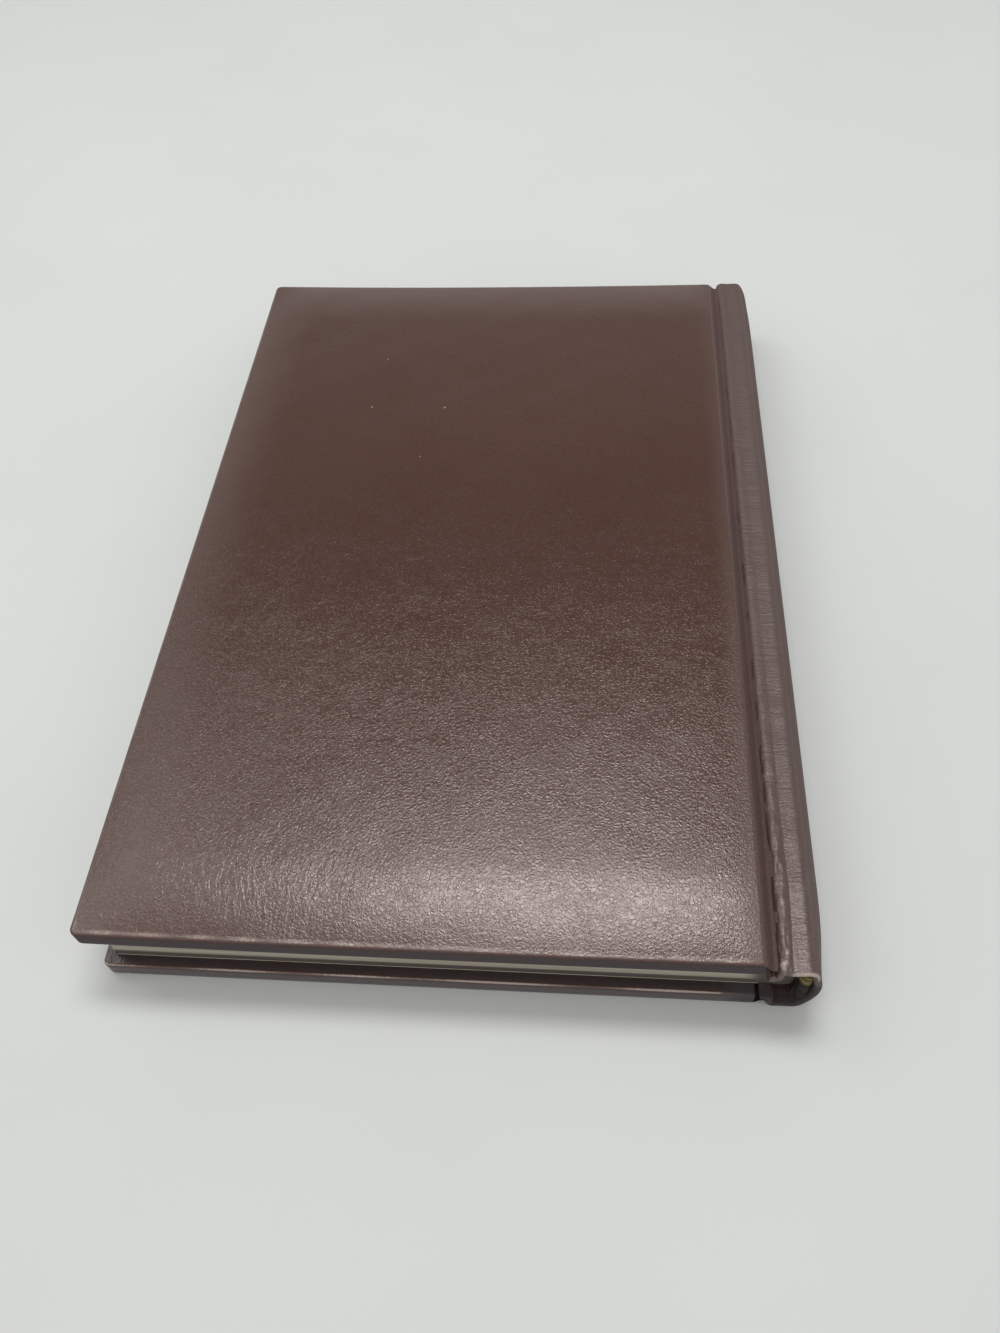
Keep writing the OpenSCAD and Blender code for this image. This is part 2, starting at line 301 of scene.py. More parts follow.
# Leather: small pebbles with cracked edges, pores, and fine creases that come and go in patches.
# A crease is where one of two noises passes its middle, and grainRun stretches the places that
# they are drawn from. The leather is also either wrinkled and crumpled or puckered in one corner.
def leatherPaint(name, look, grainRun=(1.0, 1.0, 1.0), creaseShare=1.0, wrinkled=False):
    paint = newPaint(name)
    tint, rough = look["tint"], look["rough"]
    grain = paint.cracks(1 / look["grainSize"], paint.shaken(*look["grainShake"]))
    pebble = paint.step(grain, 0.0, look["crackWidth"])
    pore = paint.noise(look["poreScale"], 2.0, 0.6)
    run = paint.stretched(grainRun, paint.shaken(*look["creaseShake"]))
    first = paint.noise(0.9, 3.0, 0.6, run, 0.5)
    second = paint.noise(0.45, 4.0, 0.65, run, 0.8)
    crease = (paint.step(paint.math("ABSOLUTE", first - 0.5), 0.0, 0.045)
              * paint.step(paint.math("ABSOLUTE", second - 0.47), 0.0, 0.035))
    patch = paint.noise(look["patchScale"], 3.0, 0.6)
    broad = paint.noise(0.018, 2.0, 0.5)
    creasedHere = look["creaseLeast"] + paint.step(patch, 0.3, 0.62) * (1 - look["creaseLeast"])
    creased = 1 - (1 - crease) * creasedHere
    wear = paint.attribute("wear")
    across, along, _ = paint.split()
    raised = ((look["grainLeast"] + paint.step(along, *look["grainRise"]) * (1 - look["grainLeast"]))
              * (1 - paint.step(along, *look["tautAt"]) * look["tautShare"]))
    height = ((pebble * look["grainDepth"] + creased * (look["creaseDepth"] * creaseShare)) * raised
              + pore * look["poreDepth"] + patch * look["patchDepth"])
    if wrinkled:
        hatch = paint.noise(1.0, 3.0, 0.55, paint.stretched((0.25, 1.5, 0.25), paint.shaken(0.25, 1.5)))
        crumple = paint.noise(1.3, 2.0, 0.6, paint.shaken(0.8, 1.2)) * paint.attribute("crumple")
        height = height + hatch * look["hatchDepth"] + crumple * look["crumpleDepth"]
    else:
        fold = paint.noise(0.9, 2.0, 0.5, paint.stretched((1.0, 0.22, 0.22), paint.shaken(0.08, 8.0)))
        puckerAlong, puckerAcross = look["puckerAt"]
        corner = paint.step(along, *puckerAlong) * paint.step(across, *puckerAcross)
        height = height + fold * corner * look["pucker"]
    # Cracks and creases of the grain get painted shade; the broad rubbed patches are real wear
    colour = paint.blend((1 - pebble) * raised * tint["crack"], look["body"], look["creaseShade"])
    colour = paint.blend(paint.step(broad, 0.3, 0.75) * tint["rubbed"], colour, look["rubbed"])
    colour = paint.blend((1 - creased) * raised * (tint["crease"] * creaseShare), colour, look["creaseShade"])
    chafeAndGlint = paint.step(wear + (paint.noise(1.4, 3.0, 0.65) - 0.5) * look["chafeAndGlintSpread"], *look["chafeAndGlintAt"])
    speck = 0
    for x, y, size in look["specks"]:
        away = paint.vector("DISTANCE", {0: paint.stretched((1, 1, 0)), 1: (x, y, 0)}, "Value")
        speck = paint.step(away, size, size / 2) + speck
    # Painted shade, then painted highlights and glints, partly real wear, then pale specks
    colour = paint.blend(paint.step(wear, *look["paintedShadeAt"]) * tint["paintedShade"], colour, look["paintedShade"])
    colour = paint.blend(paint.step(wear, *look["polishedAt"]) * tint["polished"], colour, look["polished"])
    colour = paint.blend(chafeAndGlint * tint["scuffAndGlint"], colour, look["scuffAndGlint"])
    colour = paint.blend(paint.clamp(speck * tint["speck"]), colour, look["scuffAndGlint"])
    roughness = (look["roughness"] + (patch - 0.5) * rough["patch"] + (1 - pebble) * rough["crack"]
                 + (1 - creased) * rough["crease"] + chafeAndGlint * rough["chafeAndGlint"]
                 + paint.attribute("dull") * look["matt"])
    return paint.finish(
        colour, roughness, height, Specular_IOR_Level=look["specular"], Specular_Tint=look["glossTint"])


coverLeather = leatherPaint("coverLeather", leatherLook)
spineLeatherPaint = leatherPaint(
    "spineLeather", dict(
        leatherLook, body=(68, 48, 42), paintedShade=(40, 37, 41), roughness=0.31, matt=0.6, specular=0.95,
        grainSize=0.74, grainDepth=0.018, poreDepth=0.012),
    (0.5, 1.6, 1.0), 1.2, True)
# A lighter copy of the leather for the joint grooves: painted light against the shade in them
grooveLeatherLightened = leatherPaint(
    "grooveLeatherLightened", dict(
        leatherLook, creaseShade=(64, 48, 46), body=(88, 69, 66), paintedShade=(38, 34, 36), roughness=0.5, specular=0.4),
    (0.5, 1.6, 1.0))

pageLook = {
    "light": (184, 176, 163),
    "dark": (134, 126, 114),
    "stain": (170, 146, 104),
    # The next colour is painted shade at the foot of the tail end and in the corner behind the joint
    "footShade": (56, 48, 47),
    "footShadeHeight": (7.6, 6.5),        # heights between which the tail end gets painted shade towards its foot
    "footShadeJoint": (58.0, 62.5),       # and places across the book, towards the joint
    "footShadeReach": (1.0, 0.2),         # only this near the tail end
}


# Paper edges: leaves as fine lines across the thickness, wandering a little along the block, and
# painted shade at the foot of the tail end and in its corner behind the joint
def pageEdgePaint(name, look):
    paint = newPaint(name)
    leaf = paint.noise(1.0, 4.0, 0.75, paint.stretched((0.015, 0.015, 9.0)))
    section = paint.noise(1.0, 2.0, 0.5, paint.stretched((0.02, 0.02, 1.1)))
    stain = paint.noise(0.03, 3.0, 0.6)
    colour = paint.blend(paint.step(leaf, 0.3, 0.7), look["dark"], look["light"])
    colour = paint.blend(paint.step(stain, 0.5, 0.8) * 0.35, colour, look["stain"])
    across, along, up = paint.split()
    foot = paint.math("MAXIMUM", paint.step(up, *look["footShadeHeight"]), paint.step(across, *look["footShadeJoint"]))
    atEnd = paint.step(along, *(blockLow[1] + reach for reach in look["footShadeReach"]))
    colour = paint.blend(foot * atEnd * 0.85, colour, look["footShade"])
    return paint.finish(colour, 0.85, leaf * 0.09 + section * 0.12, Specular_IOR_Level=0.2)


# Flat paper: soft clouding, laid fibres and a few brown spots
def paperPaint(name, light, clouded, spot):
    paint = newPaint(name)
    cloud = paint.noise(0.06, 4.0, 0.6)
    fibre = paint.noise(1.6, 3.0, 0.6, paint.stretched((1.0, 0.25, 1.0)))
    foxing = paint.step(paint.noise(0.16, 2.0, 0.5), 0.68, 0.78)
    colour = paint.blend(paint.step(cloud, 0.3, 0.8) * 0.4, light, clouded)
    colour = paint.blend(foxing * 0.45, colour, spot)
    return paint.finish(colour, 0.8, fibre * 0.02, Specular_IOR_Level=0.25)


# Pressed board: fibres and flecks
def boardPaint(name, light, dark, flecked):
    paint = newPaint(name)
    fibre = paint.noise(1.1, 4.0, 0.7, paint.stretched((1.0, 0.4, 2.0)))
    fleck = paint.step(paint.cells(0.9), 0.12, 0.2)
    colour = paint.blend(paint.step(fibre, 0.3, 0.7), dark, light)
    colour = paint.blend((1 - fleck) * 0.5, colour, flecked)
    return paint.finish(colour, 0.9, fibre * 0.05, Specular_IOR_Level=0.2)


# Wadding: matted soft fibres
def waddingPaint(name, light, dark):
    paint = newPaint(name)
    tuft = paint.noise(0.5, 5.0, 0.75, paint.shaken(0.3, 3.0))
    colour = paint.blend(paint.step(tuft, 0.3, 0.7), dark, light)
    return paint.finish(colour, 0.95, tuft * 0.3, Specular_IOR_Level=0.1)


# Plain weave: warp and weft as two sets of ridges, open between them
def gauzePaint(name, light, dark, pitch):
    paint = newPaint(name)
    _, along, across = paint.split()
    warp = paint.math("ABSOLUTE", paint.math("SINE", along * (math.pi / pitch)))
    weft = paint.math("ABSOLUTE", paint.math("SINE", across * (math.pi / pitch)))
    thread = paint.math("MAXIMUM", warp, weft)
    colour = paint.blend(paint.step(thread, 0.45, 0.85), dark, light)
    return paint.finish(colour, 0.9, thread * 0.12, Specular_IOR_Level=0.15)


silkLook = {
    "first": (158, 138, 78),
    "second": (92, 82, 50),
    "strandShade": (58, 44, 20),       # painted shade between the strands
    # The foot colour is painted shade
    "foot": (26, 22, 22),
    "footHeight": (8.8, 6.2),      # heights over the pages' underside between which it gets painted shade
    "pitch": 1.6,
    "slant": 0.12,
    "strands": 8,
}


# Wound silk: two colours in turn along the bead, with the twist of the thread, painted shade between the
# strands and painted shade at its foot
def silkPaint(name, look, low):
    paint = newPaint(name)
    across, along, up = paint.split()
    turn = (up - low) / look["pitch"] + (across + along) * look["slant"]
    band = paint.step(paint.math("PINGPONG", turn, 1.0), 0.42, 0.58)
    strand = paint.math("SINE", turn * (look["strands"] * math.pi)) * 0.5 + 0.5
    colour = paint.blend(band, look["first"], look["second"])
    colour = paint.blend((1 - strand) * 0.45, colour, look["strandShade"])
    dark = paint.step(up, *(low + height for height in look["footHeight"]))
    colour = paint.blend(dark * 0.96, colour, look["foot"])
    return paint.finish(colour, 0.55, strand * 0.05, Specular_IOR_Level=0.25)


# Twisted thread: a sine along it and up it
def threadPaint(name, light, dark):
    paint = newPaint(name)
    _, along, up = paint.split()
    twist = paint.math("SINE", (up + along) * 9.0) * 0.5 + 0.5
    colour = paint.blend(twist, dark, light)
    return paint.finish(colour, 0.75, twist * 0.04)


pagePaint = pageEdgePaint("pageEdges", pageLook)
endpaperPaint = paperPaint("endpaper", (226, 217, 194), (204, 191, 158), (158, 118, 70))
greyBoard = boardPaint("binderBoard", (150, 138, 118), (112, 100, 84), (70, 62, 54))
cardStrip = boardPaint("spineCard", (132, 120, 100), (96, 86, 72), (70, 62, 54))
wadding = waddingPaint("coverWadding", (224, 214, 186), (190, 178, 146))
mullPaint = gauzePaint("spineMull", (232, 226, 206), (168, 156, 124), 0.9)
kraftPaint = paperPaint("spineKraft", (176, 140, 94), (154, 114, 58), (112, 78, 44))
threadLinen = threadPaint("linenThread", (238, 230, 206), (186, 172, 138))
goldSilk = silkPaint("woundSilk", silkLook, blockLow[2])
print("materials mixed")


# Meshes

# Six times the volume that closed faces enclose: the sum of the corner products of their triangles
def enclosed(points, faces):
    a, b, c, d = (np.asarray(points, float)[faces[:, k]] for k in range(4))
    return (np.cross(a, b) * c).sum() + (np.cross(a, c) * d).sum()


# A mesh of quads, facing outward, with its marks as attributes. Where flip is given, each height
# becomes flip less that height.
def meshPiece(name, points, faces, paint, slot, flip=0, **marks):
    mesh = bpy.data.meshes.new(name)
    points, faces = np.array(points, float), np.asarray(faces)
    if flip:
        points[:, 2] = flip - points[:, 2]
    if enclosed(points, faces) < 0:
        faces = faces[:, ::-1]
    mesh.vertices.add(len(points))
    mesh.vertices.foreach_set("co", (points * mm).ravel())
    mesh.loops.add(faces.size)
    mesh.loops.foreach_set("vertex_index", faces.ravel().astype(np.int32))
    mesh.polygons.add(len(faces))
    mesh.polygons.foreach_set("loop_start", np.arange(0, faces.size, faces.shape[1], dtype=np.int32))
    mesh.polygons.foreach_set("use_smooth", np.ones(len(faces), bool))
    mesh.update(calc_edges=True)
    mesh.validate()
    mesh.set_sharp_from_angle(angle=math.radians(55))
    for mark, values in marks.items():
        layer = mesh.attributes.new(mark, "FLOAT", "POINT")
        layer.data.foreach_set("value", np.asarray(values, np.float32).ravel())
    mesh.materials.append(paint)
    piece = bpy.data.objects.new(name, mesh)
    scene.collection.objects.link(piece)
    return piece


# Quads between neighbouring rows of a grid of point numbers
def gridFaces(index, closed=False):
    if closed:
        index = np.concatenate([index, index[:, :1]], 1)
    return np.stack([index[:-1, :-1], index[:-1, 1:], index[1:, 1:], index[1:, :-1]], -1).reshape(-1, 4)


# Numbers of the points round the outside of a grid
def gridRing(index):
    return np.concatenate([index[0], index[1:, -1], index[-1, -2::-1], index[-2:0:-1, 0]])


# A grid on top, rings down the sides and a grid underneath, as one closed shell
def shellFaces(top, sides, under):
    return np.concatenate([
        gridFaces(top), gridFaces(sides, True)[:, [0, 3, 2, 1]], gridFaces(under)[:, ::-1]])


# A soft random field: a sum of plane waves with seeded directions and phases, about 1 high
def ripple(x, y, size, seed, waves=14):
    rng = np.random.default_rng(seed)
    angle, phase = rng.uniform(0, 2 * math.pi, (2, waves))
    wave = 2 * math.pi / size * rng.uniform(0.7, 1.3, waves)
    x, y = np.asarray(x)[..., None], np.asarray(y)[..., None]
    return np.sin(wave * (x * np.cos(angle) + y * np.sin(angle)) + phase).sum(-1) / math.sqrt(waves / 2)


# Rise from 0 at an edge to 1 at a distance: a quarter of a parabola
def rollOff(distance, reach):
    return 1 - (1 - np.clip(distance / reach, 0, 1)) ** 2


# Straight rise from 0 at start to 1 at end
def ramp(value, start, end):
    return np.clip((value - start) / (end - start), 0, 1)


# Bell: e to the power of minus the square of the distance over the width
def bell(distance, width):
    return np.exp(-(distance / width) ** 2)


# Grid lines from low to high: close together near the ends, evenly spaced between
def gridLines(low, high, near, pitch):
    near = np.asarray(near, float)
    count = max(int(round((high - low - 2 * near[-1]) / pitch)), 1)
    between = np.linspace(low + near[-1], high - near[-1], count + 1)
    return np.concatenate([low + near[:-1], between, high - near[:-1][::-1]])


# Plan of a cover: a rectangle with corners rounded at the fore-edge and almost square at the
# joint. Points of the full rectangle are carried to the outline inset by some distance. In each
# corner block the square (u, v) goes to the quarter disc (u sqrt(1 - v v / 2), v sqrt(1 - u u / 2)).
class CoverPlan:
    def __init__(self, look, low, high, flip):
        self.look, self.flip = look, flip
        self.low, self.high = np.array(low[:2]), np.array(high[:2])
        self.bottom, self.top = low[2], high[2]
        self.middle = (self.low + self.high) / 2
        self.radius = look["cornerRadius"]

    # Full rectangle as a grid
    def grid(self, near, pitch):
        return np.meshgrid(*(gridLines(self.low[k], self.high[k], near, pitch) for k in range(2)))

    def at(self, p, q, inset=0.0, jointInset=None):
        radius = max(self.radius - inset, 0.3)
        place, share = [], []
        jointInset = inset if jointInset is None else jointInset
        for value, low, high, far in zip((p, q), self.low, self.high, (jointInset, inset)):
            stops = [low, low + self.radius, high - self.radius, high]
            inner = [low + inset, low + inset + radius, high - far - radius, high - far]
            moved = np.interp(value, stops, inner)
            place.append(moved)
            share.append(np.clip(np.maximum(inner[1] - moved, moved - inner[2]) / radius, 0, 1))
        u, v = share
        rounding = radius * np.where(p > self.middle[0], self.look["jointRounding"], 1.0)
        x = place[0] + np.sign(self.middle[0] - place[0]) * u * rounding * (1 - np.sqrt(1 - v * v / 2))
        y = place[1] + np.sign(self.middle[1] - place[1]) * v * rounding * (1 - np.sqrt(1 - u * u / 2))
        return x, y

    # Distance inside the outline, which is 0 all along it
    def depth(self, p, q):
        across = np.minimum(p - self.low[0], self.high[0] - p)
        along = np.minimum(q - self.low[1], self.high[1] - q)
        u, v = (np.clip(1 - side / self.radius, 0, 1) for side in (across, along))
        corner = self.radius * (1 - np.sqrt(u * u + v * v - u * u * v * v))
        return np.where((u > 0) | (v > 0), corner, np.minimum(across, along))


upperLook = {
    "cornerRadius": 1.6,
    "jointRounding": 0.25,
    "edgeRadius": 0.4,        # rolled edge round the outer face
    "innerEdge": 0.5,
    "rise": 1.3,              # height of the padding over the edges
    "foreRoll": 16.0,         # roll-off of the padding at the fore-edge
    "endRoll": 19.0,          # at head and tail
    "jointRoll": 14.0,
    "jointShare": 0.8,        # share of the rise that the joint side keeps
    "cup": 0.5,               # lift of the fore-edge, as the board is warped
    "cupHead": 0.25,          # more lift at the head
    "cupJoint": 0.2,          # lift at the joint
    "softness": 0.018,        # height of slow unevenness in the padding
    "softWaves": (34, 13),    # lengths of its long and short waves
    "turnIn": 15.0,
    "jointTurnIn": 2.6,
    "near": [0, 0.04, 0.14, 0.3, 0.5, 0.75, 1.05, 1.45, 2.0, 2.7, 3.6],    # grid lines beside the edges
    "pitch": 1.2,
    "outerWearAndGlint": 0.47,        # wear with a painted highlight along the rim of the outer face, and of the inner one at the tail
    "innerWearAndHighlight": 0.15,
    "rim": (0.4, 0.5, 0.6),   # place from the edge, width and share of the worn rim with its painted highlight
    "tailRim": (0.8, 0.65, 1.0),
    "tailFrom": (4, 3),       # distances from the tail between which the rim changes to the tail's
    "rimEnd": (1.2, 3.7),     # distances from the joint between which it grows
    "edgeShade": 0.8,           # painted shade on its edges
    "tailTurnShade": 0.6,       # painted shade where it turns over the tail edge
    "turnWidth": 0.3,         # width of that turn
    "dullness": 1.4,
    "jointDullness": 0.4,
    "jointDull": 5.0,         # how far it reaches from the joint
    "shadedAt": (-7, -2),     # places from the joint between which the tail end gets dark
    "shadedTail": (-90, -91),  # places along the book between which that starts
}
# The lower cover's inner rim at the tail gets wear and a strong painted highlight line
lowerLook = dict(
    upperLook, edgeRadius=0.75, rise=0.0, cup=0.0, cupHead=0.0, cupJoint=0.0, softness=0.0, outerWearAndGlint=0.35,
    innerWearAndHighlight=0.78, edgeShade=0.7, dullness=0.0)
upperPlan = CoverPlan(upperLook, coverLow, [coverHigh[0], coverHigh[1], coverTop], 0)
lowerPlan = CoverPlan(
    lowerLook, [lowerLow[0], lowerLow[1], flipSum - lowerHigh[2]], [lowerHigh[0], lowerHigh[1], coverTop],
    flipSum)


# Lift of the warped cover: a parabola across each half of its width, a little deeper towards the head
def cupLift(plan, x, y):
    look = plan.look
    across = (x - plan.middle[0]) / (plan.high[0] - plan.middle[0])
    along = (y - plan.low[1]) / (plan.high[1] - plan.low[1])
    return (np.where(across > 0, look["cupJoint"], look["cup"]) + look["cupHead"] * along) * across ** 2


# Outer face of a cover: the edge height, less the quarter circle of its edge, plus the padding,
# which is the product of the roll-offs at its four edges, plus slow unevenness
def paddedFace(plan, p, q, x, y):
    look, radius = plan.look, plan.look["edgeRadius"]
    inside = np.clip(plan.depth(p, q), 0, radius)
    drop = radius - np.sqrt(np.maximum(radius ** 2 - (radius - inside) ** 2, 0))
    joint = look["jointShare"] + (1 - look["jointShare"]) * rollOff(plan.high[0] - p, look["jointRoll"])
    share = (rollOff(p - plan.low[0], look["foreRoll"]) * joint
             * rollOff(q - plan.low[1], look["endRoll"]) * rollOff(plan.high[1] - q, look["endRoll"]))
    longWave, shortWave = look["softWaves"]
    soft = (ripple(x, y, longWave, 5) + 0.5 * ripple(x, y, shortWave, 6)) * look["softness"]
    soft = soft * np.clip(share * 3, 0, 1)    # it fades out towards the edges
    return plan.top - drop + look["rise"] * share + soft + cupLift(plan, x, y)


grooveLook = {
    "start": -0.7,            # where the groove leaves the face, from the edge of the cover
    "valley": 1.8,            # where it is deepest
    "crest": 2.65,            # where it has risen to the ridge
    "crestDrop": 0.36,        # height of that place under the edges
    "crestSlope": 0.8,
    "headDepth": 0.95,        # depth of the valley at the head, in the middle and at the tail
    "middleDepth": 1.2,
    "tailDepth": 1.6,
    "tailReach": 22.0,
    "unevenness": 0.05,
    "clear": 0.12,            # how far the cover's own leather keeps under it
    "lift": 0.012,            # how far this leather stands on the cover's
    "thin": 0.008,
    "thick": 0.4,
    "endRound": 0.7,
    "endClear": 0.06,         # how far it ends before the ends of the cover
    "easing": 0.8,            # distance over which the cover gives way to it and its ends get round
    "points": 36,             # across it
    "near": [0, 0.15, 0.35, 0.6, 0.9, 1.4],
    "pitch": 0.8,
    "legHalf": 0.16,          # half the thickness of the leg inside the ridge
    "legClear": 0.15,         # its height over the cover's inside
    "thickAt": 2.4,           # distance over which it gets thick
    "dullAt": (0.2, 1.4),     # places from the edge of the cover between which it gets dull
    "paler": (0.8, 2, 0.2),   # places between which it gets painted lighter towards the ridge, and how much
    "tailPaler": (45, 0.1),   # how far from the tail it is painted lighter, and how much
    "tailShade": (3, 0.8),   # how far from the tail the lower one gets painted shade, and how much
}


# Cubic with a given height and slope at each end
def hermite(t, z0, slope0, z1, slope1, width):
    return ((2 * t ** 3 - 3 * t ** 2 + 1) * z0 + (t ** 3 - 2 * t ** 2 + t) * width * slope0
            + (3 * t ** 2 - 2 * t ** 3) * z1 + (t ** 3 - t ** 2) * width * slope1)


# Upper face of the leather in the joint groove: a cubic from the face of the cover down to the
# valley, and another up to the ridge. The valley is deepest at the tail.
def grooveFace(groove, plan, x, y):
    a, v, c = (plan.high[0] + groove[key] for key in ("start", "valley", "crest"))
    yIn = np.clip(y, plan.low[1] + 0.02, plan.high[1] - 0.02)
    start, before = (paddedFace(plan, edge + 0 * y, yIn, edge + 0 * y, yIn) for edge in (a, a - 0.2))
    along = (y - plan.low[1]) / (plan.high[1] - plan.low[1])
    toHead = (groove["headDepth"] - groove["middleDepth"]) * ramp(along, 0.5, 1)
    toTail = (groove["tailDepth"] - groove["middleDepth"]) * np.exp(-(y - plan.low[1]) / groove["tailReach"])
    depth = groove["middleDepth"] + toHead + toTail
    low = plan.top - depth + groove["unevenness"] * ripple(y, x * 0.3, 12, 41)
    crest = plan.top - groove["crestDrop"]
    left = hermite(ramp(x, a, v), start, (start - before) / 0.2, low, 0, v - a)
    right = hermite(ramp(x, v, c), low, 0, crest, groove["crestSlope"], c - v)
    return np.where(x < v, left, right)


# Outer face of a cover, kept under the leather of the groove beside the joint
def coverFace(plan, p, q, x, y):
    face = paddedFace(plan, p, q, x, y)
    reach = np.clip((x - plan.high[0] - grooveLook["start"]) / grooveLook["easing"], 0, 1)
    under = grooveFace(grooveLook, plan, x, y) - grooveLook["clear"] * reach
    return np.where(reach > 0, np.minimum(face, under), face)


# Covering leather of one cover: the outer face, the edges, the turn-ins with their inner
# border, then the inside against the board and padding, all as one closed sheet
def coverLeatherPiece(name, plan, paint, slot):
    look = plan.look
    p, q = plan.grid(look["near"], look["pitch"])
    x, y = plan.at(p, q)
    outer = np.stack([x, y, coverFace(plan, p, q, x, y)], -1)
    xIn, yIn = plan.at(p, q, leatherThickness)
    inner = np.stack([xIn, yIn, coverFace(plan, p, q, x, y) - leatherThickness], -1)
    index = np.arange(p.size).reshape(p.shape)
    ring = gridRing(index)
    pRing, qRing = p.ravel()[ring], q.ravel()[ring]
    bottom, floor = plan.bottom, plan.bottom + turnInThickness
    r, turnIn = look["innerEdge"], look["turnIn"]
    levels = [(0.0, height) for height in np.linspace(plan.top - look["edgeRadius"], bottom + r, 5)[1:]]
    innerEdge = len(levels)
    turns = np.linspace(0, math.pi / 2, 4)[1:]
    levels += [(r * (1 - math.cos(turn)), bottom + r * (1 - math.sin(turn))) for turn in turns]
    levels += [(inset, bottom) for inset in (0.8, 2.0, 4.0, 8.0, 12.0)]
    levels += [(turnIn, bottom + 0.1), (turnIn + 0.05, floor), (turnIn - 1, floor)]
    levels += [(inset, floor) for inset in (10.0, 5.0, 2.0, leatherThickness)]
    rings = []
    for inset, height in levels:
        xRing, yRing = plan.at(pRing, qRing, inset, min(inset, look["jointTurnIn"]))
        rings.append(np.stack([xRing, yRing, height + cupLift(plan, xRing, yRing)], -1))
    points = np.concatenate([outer.reshape(-1, 3), np.concatenate(rings), inner.reshape(-1, 3)])
    sides = slice(p.size, p.size + len(rings) * len(ring))
    sideIndex = np.arange(sides.start, sides.stop).reshape(len(rings), -1)
    under = sides.stop + index
    faces = shellFaces(index, np.concatenate([ring[None], sideIndex, under.ravel()[ring][None]]), under)

    # Wear and painted highlights along the rims, painted shade and dullness on the edges, and neither wear
    # nor gloss beside the joint
    wear, dull = np.zeros((2, len(points)))
    depth, toJoint = plan.depth(p, q), plan.high[0] - p
    nearTail = ramp(q - plan.low[1], *look["tailFrom"])
    place, width, share = (
        usual + (atTail - usual) * nearTail for usual, atTail in zip(look["rim"], look["tailRim"]))
    rim = bell(depth - place, width) * share * ramp(toJoint, *look["rimEnd"])
    turned = nearTail * bell(depth, look["turnWidth"])
    rimWearAndLight = look["outerWearAndGlint"] * rim * (1 + 0.1 * ripple(x, y, 8, 11)) - look["tailTurnShade"] * turned
    wear[:p.size] = rimWearAndLight.ravel()
    jointDull = look["jointDullness"] * ramp(toJoint, look["jointDull"], 0)
    dull[:p.size] = (look["dullness"] * turned + jointDull).ravel()
    cornerShade = ramp(pRing - plan.high[0], *look["shadedAt"]) * ramp(qRing, *look["shadedTail"])
    # Painted shade on all the edge walls, darkest in the tail corner by the joint
    wear[sides] = -np.tile(look["edgeShade"] + cornerShade, len(rings))
    dull[sides] = np.tile(np.maximum(look["dullness"], cornerShade), len(rings))
    onTail = ramp(qRing - plan.low[1], 1.5, 0) * (1 - cornerShade)
    # At the tail the inner rim loses that painted shade and gets wear with a painted highlight line
    for level, share in enumerate((0.3, 1.0, 0.3), innerEdge):
        rimWearAndLight = look["innerWearAndHighlight"] * share * (1 + 0.3 * ripple(pRing, qRing, 22, 12))
        wear[sideIndex[level]] += onTail * (rimWearAndLight + look["edgeShade"])
    return meshPiece(name, points, faces, paint, slot, plan.flip, wear=wear, dull=dull)


upperLeather = coverLeatherPiece("upperCoverLeather", upperPlan, coverLeather, "leather")
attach(upperLeather, "upper_cover")
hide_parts("upper_leather")

lowerLeather = coverLeatherPiece("lowerCoverLeather", lowerPlan, coverLeather, "leather")
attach(lowerLeather, "lower_cover")
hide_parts("lower_leather")
print("cover leather laid")

fillingLook = {
    "clearance": 0.02,        # between board, padding and leather
    "near": [0, 0.6, 1.4, 2.4, 4.0],
    "pitch": 6.0,
}


# A block between a flat underside and a given top, on the plan of a cover inset by some distance
def coverFilling(name, look, plan, inset, bottom, topOf, paint, slot):
    p, q = plan.grid(look["near"], look["pitch"])
    x, y = plan.at(p, q, inset)
    top = np.stack([x, y, topOf(p, q, x, y)], -1).reshape(-1, 3)
    under = np.stack([x, y, bottom + cupLift(plan, x, y)], -1).reshape(-1, 3)
    index = np.arange(p.size).reshape(p.shape)
    ring = gridRing(index)
    faces = shellFaces(index, np.stack([ring, ring + p.size]), index + p.size)
    return meshPiece(name, np.concatenate([top, under]), faces, paint, slot)


def boardTop(p, q, x, y):  # flat but for the warp, so it reads only x and y
    return boardHigh[2] + cupLift(upperPlan, x, y)


# The padding reaches up to the leather, or at least over the board
def paddingTop(p, q, x, y):
    gap = fillingLook["clearance"]
    underLeather = coverFace(upperPlan, p, q, x, y) - leatherThickness - gap
    return np.maximum(underLeather, boardTop(p, q, x, y) + 2 * gap)


clearance = fillingLook["clearance"]
upperBoard = coverFilling(
    "upperBoard", fillingLook, upperPlan, leatherThickness + clearance, boardLow[2] + clearance, boardTop,
    greyBoard, "board")
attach(upperBoard, "upper_cover")
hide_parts("upper_board")
upperPadding = coverFilling(
    "upperPadding", fillingLook, upperPlan, leatherThickness + 2 * clearance, boardHigh[2] + clearance,
    paddingTop, wadding, "padding")
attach(upperPadding, "upper_cover")
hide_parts("upper_padding")
print("upper board and padding laid")


